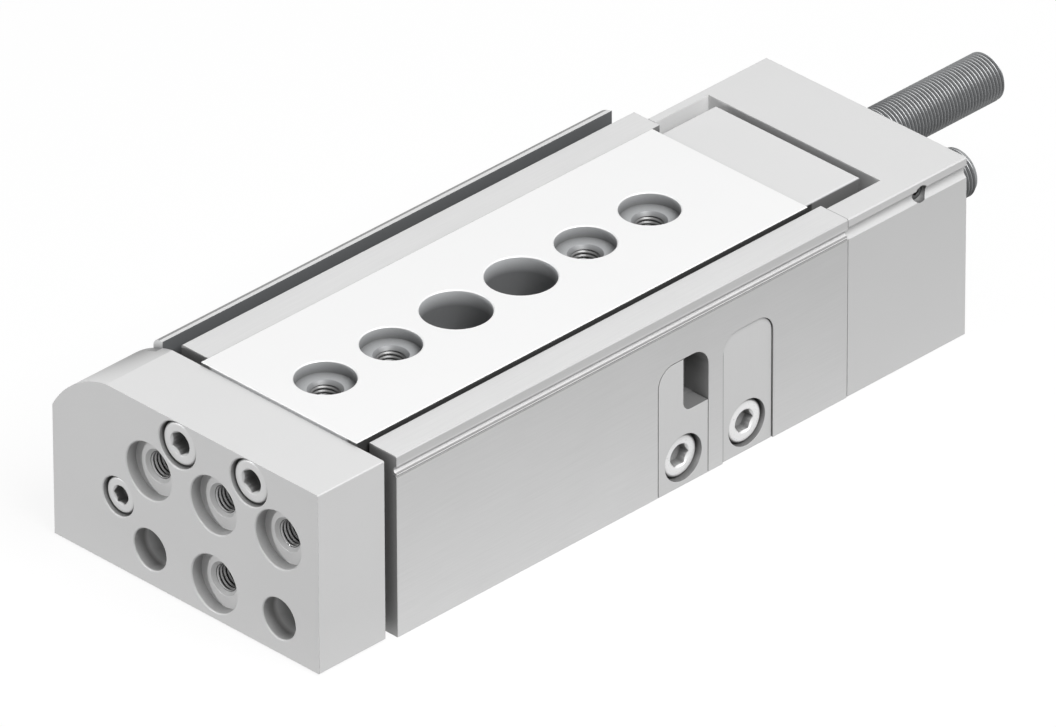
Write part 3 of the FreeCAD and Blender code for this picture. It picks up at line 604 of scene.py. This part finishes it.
def finish(name, tone, painted_gap_shade, grain=every_way, grain_size=0.12 * mm, contrast=0.03,
           roughness=0.42, metallic=0.15, bump=0.15, soft_edge=0.08 * mm, gap_reach=5 * mm,
           gap_start=0.25, gap_end=0.9, plain_axis=None):
    """A finish with a fine grain, faint clouds, rounded edges and painted shade in its gaps.

    A tone is a colour or a function that builds one. The painted gap shade is full up to the
    openness gap_start and gone from gap_end on. Faces square to the plain axis, such as the
    floors of sleeve seats, get no painted shade and stay as light as the outside.
    """
    material = bpy.data.materials.new(name)
    material.use_nodes = True
    graph = Graph(material.node_tree)
    output = graph.add("OutputMaterial")
    shader = graph.add("BsdfPrincipled")
    fine = graph.noise(grain, grain_size)
    # Painted shade: the colour darkens where ambient occlusion finds a hole or a gap
    open_share = graph.spread(graph.openness(gap_reach), gap_start, gap_end)
    if plain_axis:
        square = graph.math("ABSOLUTE", graph.facing(plain_axis))
        open_share = graph.math("MAXIMUM", open_share, graph.spread(square, 0.5, 0.7))
    colour = graph.mix(open_share, built(graph, painted_gap_shade), built(graph, tone))
    shade = graph.add("VectorMath", operation="SCALE")
    graph.join(colour, shade.inputs[0])
    graph.join(grain_level(graph, fine, contrast), shade.inputs["Scale"])
    graph.join(shade.outputs[0], shader.inputs["Base Color"])
    smoothest = roughness * (1 - roughness_spread)
    roughest = roughness * (1 + roughness_spread)
    graph.join(graph.spread(fine, 0.0, 1.0, smoothest, roughest), shader.inputs["Roughness"])
    shader.inputs["Metallic"].default_value = metallic
    graph.join(relief(graph, fine, bump, soft_edge), shader.inputs["Normal"])
    graph.join(shader.outputs["BSDF"], output.inputs["Surface"])
    return material


def built(graph, tone):
    return tone(graph) if callable(tone) else tone


def grain_level(graph, fine, contrast):
    """A level about 1 that follows the fine grain and, half as much, wide clouds."""
    cloud = graph.noise(every_way, cloud_size, detail=2.0)
    change = graph.math("ADD", graph.product(fine, contrast), graph.product(cloud, contrast / 2))
    return graph.math("ADD", change, 1 - contrast * 0.75)


def relief(graph, fine, bump, soft_edge):
    """The surface's normal with rounded edges and a slight relief of the grain."""
    bevel = graph.add("Bevel", samples=bevel_samples)
    bevel.inputs["Radius"].default_value = soft_edge
    made = graph.add("Bump")
    made.inputs["Strength"].default_value = bump
    made.inputs["Distance"].default_value = relief_depth
    graph.join(fine, made.inputs["Height"])
    graph.join(bevel.outputs["Normal"], made.inputs["Normal"])
    return made.outputs["Normal"]


def make_finishes():
    """Every finish by its short name."""
    # Painted shade in the gaps of the aluminium finishes
    metal_gap_shade = grey(0.2)
    return {
        "milled": finish("milled_aluminium", yoke_tone, yoke_gap_shade_and_light, plain_axis="Y",
                         gap_start=0.35),
        # Painted shade on the guard's faces and in its gaps
        "guard": finish("guard_strip_painted_shade", guard_tone, grey(0.12, 0.03), along_slide, contrast=0.02,
                        soft_edge=0.03 * mm, gap_reach=1.0 * mm),
        "brushed": finish("brushed_aluminium", housing_tone, metal_gap_shade, along_slide,
                          grain_size=0.2 * mm, contrast=0.045, soft_edge=0.04 * mm),
        "blasted": finish("blasted_aluminium", cap_tone, grey(0.56), roughness=0.5, contrast=0.02,
                          gap_reach=2.5 * mm, gap_start=0.1, gap_end=0.45),
        "plate": finish("plate_aluminium", plate_tone, metal_gap_shade, up_and_down, contrast=0.02),
        "ground": finish("ground_steel", table_tone, table_gap_shade, along_slide, contrast=0.008,
                         roughness=0.45, bump=0.02),
        "screw": finish("screw_steel", grey(0.7), grey(0.2), metallic=0.3, roughness=0.45,
                        contrast=0.015, bump=0.03, gap_reach=2.5 * mm, gap_start=0.4, gap_end=0.75),
        # Painted reflection: the side plates' screws are the same steel, coloured lighter for their
        # sheen
        "screw_painted_sheen": finish("screw_steel_painted_sheen", grey(0.9), grey(0.2), metallic=0.3,
                               roughness=0.3, contrast=0.015, bump=0.03, gap_reach=2.5 * mm,
                               gap_start=0.35, gap_end=0.85),
        "thread": finish("cut_thread", grey(0.6), grey(0.04), across_slide, metallic=0.4,
                         roughness=0.3, gap_reach=4 * mm, gap_start=0.1, gap_end=0.5,
                         soft_edge=0.02 * mm),
        # Painted shade: a darker copy of the cut thread, for the table's holes
        "thread_painted_shade": finish("thread_painted_shade", grey(0.25), grey(0.05), across_slide, metallic=0.4,
                              roughness=0.4, gap_reach=1.5 * mm, soft_edge=0.02 * mm),
        # Painted shade on the floor and one flank of each lining groove
        "thread_groove_painted_shade": finish("thread_groove_painted_shade", grey(0.07), grey(0.01), metallic=0.5,
                                roughness=0.4, gap_reach=1.5 * mm, soft_edge=0.02 * mm),
        "dark_thread": finish("dark_rolled_steel", stop_tone, grey(0.08), metallic=0.5,
                              roughness=0.35, gap_reach=0.4 * mm, gap_start=0.1, gap_end=0.75,
                              soft_edge=0.02 * mm),
        "grub": finish("grub_steel", grey(0.3, 0.02), grey(0.05), metallic=0.6, roughness=0.45),
        "clamp": finish("clamp_steel", grey(0.4), grey(0.1), across_slide, metallic=0.8),
        "rubber": finish("seal_rubber", grey(0.04), grey(0.01), metallic=0.0, roughness=0.65,
                         contrast=0.15, bump=0.3),
        "bumper": finish("buffer_plastic", grey(0.55, -0.03), grey(0.1), metallic=0.0,
                         roughness=0.55),
        "rod": finish("hard_chrome", grey(0.75), grey(0.1), across_slide, metallic=0.95,
                      roughness=0.12, bump=0.05),
        "piston": finish("turned_aluminium", grey(0.62), grey(0.1), across_slide, metallic=0.7,
                         roughness=0.3),
        "magnet": finish("magnet_filling", grey(0.07), grey(0.02), metallic=0.1, roughness=0.6,
                         contrast=0.12),
        "bronze": finish("sintered_bronze", (0.5, 0.34, 0.17, 1.0), (0.1, 0.06, 0.03, 1.0),
                         metallic=0.8, contrast=0.1),
        "rail": finish("hardened_rail", grey(0.62), grey(0.1), along_slide, metallic=0.85,
                       roughness=0.2),
        "ball": finish("polished_ball", grey(0.78), grey(0.1), metallic=0.95, roughness=0.07,
                       bump=0.03),
        "cage": finish("cage_plastic", (0.05, 0.12, 0.22, 1.0), (0.01, 0.03, 0.05, 1.0),
                       metallic=0.0, roughness=0.5, contrast=0.08),
        "spring": finish("spring_steel", grey(0.32), grey(0.08), metallic=0.85, roughness=0.3),
    }


finish_nodes = {
    "brushed": ("housing",),
    "blasted": ("end_cap",),
    "milled": ("yoke_plate",),
    "ground": ("slide_table",),
    "guard": ("side_guard",),
    "plate": ("side_plate_front", "side_plate_rear"),
    "screw": ("yoke_screws", "rod_screw", "guard_screw", "cap_screws"),
    "screw_painted_sheen": ("side_plate_screws",),
    "dark_thread": ("long_stop_sleeve", "short_stop_sleeve"),
    "bumper": ("long_stop_buffer", "short_stop_buffer", "piston_buffers"),
    "rubber": ("piston_seals", "cap_seal", "rod_seal"),
    "rod": ("piston_rod",),
    "piston": ("piston",),
    "magnet": ("piston_magnet",),
    "bronze": ("rod_bearing",),
    "rail": ("guide_rail_right", "guide_rail_left"),
    "ball": ("balls_right", "balls_left"),
    "cage": ("ball_cage_right", "ball_cage_left"),
    "grub": ("clamp_screw",),
    "clamp": ("clamp_pin",),
    "spring": ("retaining_ring",),
}


def dress_nodes(finishes):
    for finish_name, names in finish_nodes.items():
        for name in names:
            materials = nodes[name].data.materials
            materials.clear()
            materials.append(finishes[finish_name])


# Turned shapes: columns of (radius, height) points set round an axis

def thread_columns(crest, root, pitch, length, steps, trim=0.0):
    """Columns up a screw thread, which runs out flat at both ends; trim chamfers the ends."""
    turns = math.ceil(length / pitch) + 2
    shape = ((0.0, crest), (crest_end, crest), (root_start, root), (root_end, root))
    columns = []
    for step in range(steps + 1):
        lead = step / steps - 1
        line = [((turn + share + lead) * pitch, radius)
                for turn in range(turns) for share, radius in shape]
        columns.append([trimmed(point, length, crest, trim) for point in held(line, length)])
    return columns


def held(line, length):
    """The line's points kept between 0 and the length, with the radius where it leaves them."""
    first = radius_at(line, 0.0)
    last = radius_at(line, length)
    points = []
    for height, radius in line:
        if height <= 0:
            points.append((first, 0.0))
        elif height >= length:
            points.append((last, length))
        else:
            points.append((radius, height))
    return points


def radius_at(line, height):
    for (low, low_radius), (high, high_radius) in zip(line, line[1:]):
        if low <= height <= high:
            share = (height - low) / (high - low)
            return low_radius + share * (high_radius - low_radius)
    return line[-1][1]


def trimmed(point, length, crest, trim):
    radius, height = point
    room = min(height, length - height)
    return (min(radius, crest - trim + room), height)


def hexagon_radius(turn, key_width):
    """How far a hexagon reaches at a share of a whole turn, with corners at whole sixths."""
    angle = ((turn * 6) % 1 - 0.5) * sixth_of_a_turn
    return key_width / 2 / math.cos(angle)


def socket_points(turn, top, key_width, depth):
    """Down into a hexagon socket: a countersunk mouth, the flats and a drilled point."""
    flats = hexagon_radius(turn, key_width)
    inner = key_width / 2
    mouth = inner * mouth_share
    drill = inner * drill_share
    reach = mouth - inner
    cone_steps = 5
    points = []
    for step in range(cone_steps + 1):
        way = reach * step / cone_steps
        points.append((max(flats, mouth - way), top - way))
    points.append((flats, top - depth))
    points.append((drill, top - depth))
    points.append((0.0, top - depth - drill * drill_point_share))
    return points


def rim_points(radius, top, rounding, steps=6):
    """Over a head's rounded rim, from its side to its flat top."""
    points = []
    for step in range(steps + 1):
        angle = math.pi / 2 * step / steps
        inward = rounding * (1 - math.cos(angle))
        downward = rounding * (1 - math.sin(angle))
        points.append((radius - inward, top - downward))
    return points


def screw_columns(screw, head_radius, length):
    """A socket screw from its tip at height 0 up to the top of its head."""
    shank = screw.diameter / 2
    depth = thread_depth_share * screw.pitch
    under = length - screw.head_height
    threads = thread_columns(shank, shank - depth, screw.pitch, under, fine_steps, trim=depth)
    rounding = head_rounding_share * head_radius
    columns = []
    for step, thread in enumerate(threads):
        points = [(0.0, 0.0)] + thread
        points.append((head_radius - rounding / 2, under))
        points.append((head_radius, under + rounding / 2))
        points += rim_points(head_radius, length, rounding)
        points += socket_points(step / fine_steps, length, screw.key_width, screw.socket_depth)
        columns.append(points)
    return columns


def stop_columns(radius, length):
    """A threaded sleeve: a seat for its pin at height 0 and a socket in its other end."""
    root = radius - thread_depth_share * stop_pitch
    threads = thread_columns(radius, root, stop_pitch, length, fine_steps, stop_end_chamfer)
    seat = [(0.0, stop_seat_depth), (stop_seat_radius, stop_seat_depth), (stop_seat_radius, 0.0)]
    columns = []
    for step, thread in enumerate(threads):
        socket = socket_points(step / fine_steps, length, stop_key_width, stop_socket_depth)
        columns.append(seat + thread + socket)
    return columns


def lining_columns(radius, pitch, length):
    """A thin threaded lining whose outside lies just inside a hole's wall."""
    wall = radius - lining_gap
    groove = wall - lining_thickness
    ridge = radius - lining_ridge_height
    columns = thread_columns(groove, ridge, pitch, length, coarse_steps)
    return [[(wall, 0.0)] + column + [(wall, length)] + [(wall, 0.0)] for column in columns]


def add_turned(name, columns, place, axis, turn=0.0, grooves=False):
    """A mesh whose columns stand round the axis from the place.

    With grooves, each thread groove's floor and one of its flanks get the second material, a painted
    shade.
    """
    count = len(columns[0])
    corners = []
    for step, column in enumerate(columns):
        angle = 2 * math.pi * step / (len(columns) - 1) + turn
        sideways = math.cos(angle)
        upwards = math.sin(angle)
        corners += [(radius * sideways, radius * upwards, height) for radius, height in column]
    faces = []
    for step in range(len(columns) - 1):
        for row in range(count - 1):
            low = step * count + row
            faces.append((low, low + count, low + count + 1, low + 1))
    mesh = bpy.data.meshes.new(name)
    mesh.from_pydata(corners, [], faces)
    if grooves:
        mark_grooves(mesh, count - 1)
    shape = bmesh.new()
    shape.from_mesh(mesh)
    bmesh.ops.remove_doubles(shape, verts=shape.verts, dist=same_corner)
    bmesh.ops.recalc_face_normals(shape, faces=shape.faces)
    upright = axis.to_track_quat("Z", "Y").to_matrix().to_4x4()
    shape.transform(Matrix.Translation(place) @ upright)
    shape.to_mesh(mesh)
    shape.free()
    return add_mesh(name, mesh)


def mark_grooves(mesh, rows):
    """The second material, a painted shade, for the faces in a lining's grooves; the first row is
    its end.
    """
    groove_rows = (0, rows_per_turn - 1)
    for face in mesh.polygons:
        row = face.index % rows - 1
        face.material_index = int(row % rows_per_turn in groove_rows)


def add_mesh(name, mesh):
    mesh.shade_smooth()
    mesh.set_sharp_from_angle(angle=sharp_edge)
    made = bpy.data.objects.new(name, mesh)
    bpy.context.scene.collection.objects.link(made)
    return made


def settle(piece, body, material, replaced=()):
    """Dresses a piece, lets it ride on its body, and hides the nodes that it stands for."""
    piece.data.materials.append(material)
    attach(piece, body)
    if replaced:
        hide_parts(*replaced)


def islands(name):
    """The lowest and highest corners of each loose solid in a node, in order along X, Y and Z."""
    shape = bmesh.new()
    shape.from_mesh(nodes[name].data)
    bmesh.ops.remove_doubles(shape, verts=shape.verts, dist=same_solid_corner)
    waiting = set(shape.verts)
    boxes = []
    while waiting:
        edge_of_search = [waiting.pop()]
        found = list(edge_of_search)
        while edge_of_search:
            corner = edge_of_search.pop()
            for link in corner.link_edges:
                other = link.other_vert(corner)
                if other in waiting:
                    waiting.remove(other)
                    found.append(other)
                    edge_of_search.append(other)
        low = Vector([min(corner.co[axis] for corner in found) for axis in range(3)])
        high = Vector([max(corner.co[axis] for corner in found) for axis in range(3)])
        boxes.append((low, high))
    shape.free()
    return sorted(boxes, key=rounded_middle)


def rounded_middle(box):
    """A box's middle to 0.01 mm, so that equal places sort as equal."""
    low, high = box
    return tuple(round(value / mm, 2) for value in (low + high) / 2)


# Screws, stops, linings and balls

def add_screws(node, axis, screw, body, material, turn=0.0):
    """A detailed screw for every solid of a node, each with its head at the axis's far end."""
    for number, (low, high) in enumerate(islands(node), start=1):
        size = high - low
        length = abs(size.dot(axis))
        narrowest = min(size)
        head_diameter = narrowest if length > narrowest else max(size)
        tip = (low + high) / 2 - axis * length / 2
        columns = screw_columns(screw, head_diameter / 2, length)
        piece = add_turned(f"{node}_{number}", columns, tip, axis, turn)
        settle(piece, body, material, [node])


def add_stop(node, body, material):
    low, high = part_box(node)
    middle = (low + high) / 2
    columns = stop_columns((high.x - low.x) / 2, high.y - low.y)
    piece = add_turned(node + "_threaded", columns, Vector((middle.x, low.y, middle.z)), rear)
    settle(piece, body, material, [node])


def add_linings(name, body, pitch, length, ridges, grooves, inset=0.0):
    """A threaded lining in each hole of a mount, from the inset below its plane inwards."""
    mount = mounts[name]
    axis = Vector(mount["axis"])
    sizes = mount["dims"]
    radius = sizes.get("hole_r_mm", sizes.get("r_mm")) * mm
    count = sizes.get("count", 1)
    second_way = Vector((0.0, 0.0, 1.0)) if abs(axis.y) > 0.5 else Vector((0.0, 1.0, 0.0))
    reach = Vector((sizes.get("spacing_x_mm", 0.0), 0.0, 0.0)) * mm
    reach += second_way * sizes.get("spacing_y_mm", 0.0) * mm
    start = Vector(mount["pos_m"]) - axis * inset
    for number in range(count):
        share = number / (count - 1) - 0.5 if count > 1 else 0.0
        columns = lining_columns(radius, pitch, length)
        place = start + reach * share
        piece = add_turned(f"{name}_{number + 1}", columns, place, -axis, grooves=True)
        settle(piece, body, ridges)
        piece.data.materials.append(grooves)


def add_balls(node, body, material):
    """One mesh with a round ball in the place of each of the node's solids."""
    shape = bmesh.new()
    for low, high in islands(node):
        bmesh.ops.create_uvsphere(shape, u_segments=ball_segments, v_segments=ball_rings,
                                  radius=max(high - low) / 2,
                                  matrix=Matrix.Translation((low + high) / 2))
    mesh = bpy.data.meshes.new(node + "_round")
    shape.to_mesh(mesh)
    shape.free()
    settle(add_mesh(node + "_round", mesh), body, material, [node])


def add_details(finishes):
    screw = finishes["screw"]
    thread = finishes["thread"]
    groove = finishes["thread_groove_painted_shade"]
    add_screws("yoke_screws", front, yoke_screw, "slide", screw, turn=sixth_of_a_turn / 2)
    add_screws("rod_screw", front, rod_screw, "slide", screw)
    add_screws("guard_screw", rear, guard_screw, "slide", screw)
    add_screws("cap_screws", rear, cap_screw, "housing", screw)
    add_screws("side_plate_screws", right, plate_screw, "housing", finishes["screw_painted_sheen"])
    add_stop("long_stop_sleeve", "long_stop_screw", finishes["dark_thread"])
    add_stop("short_stop_sleeve", "short_stop_screw", finishes["dark_thread"])
    for name in ("table_outer_threads", "table_inner_threads"):
        add_linings(name, "slide", hole_pitch, table_thread_depth,
                    finishes["thread_painted_shade"], groove)
    for name in ("yoke_outer_threads", "yoke_centre_threads"):
        add_linings(name, "slide", hole_pitch, yoke_thread_depth, thread, groove)
    add_linings("base_threads", "housing", hole_pitch, base_thread_depth, thread, groove)
    for name in ("front_port", "rear_port"):
        add_linings(name, "housing", port_pitch, port_thread_depth, thread, groove,
                    inset=port_inset)
    add_balls("balls_right", "cage_right", finishes["ball"])
    add_balls("balls_left", "cage_left", finishes["ball"])


add_camera()
add_world()
add_lamp("key", key_direction, key_level, key_width)
add_lamp("front", front_direction, front_level, front_width)
add_floor()
bpy.context.scene.view_settings.view_transform = "Standard"
all_finishes = make_finishes()
dress_nodes(all_finishes)
add_details(all_finishes)
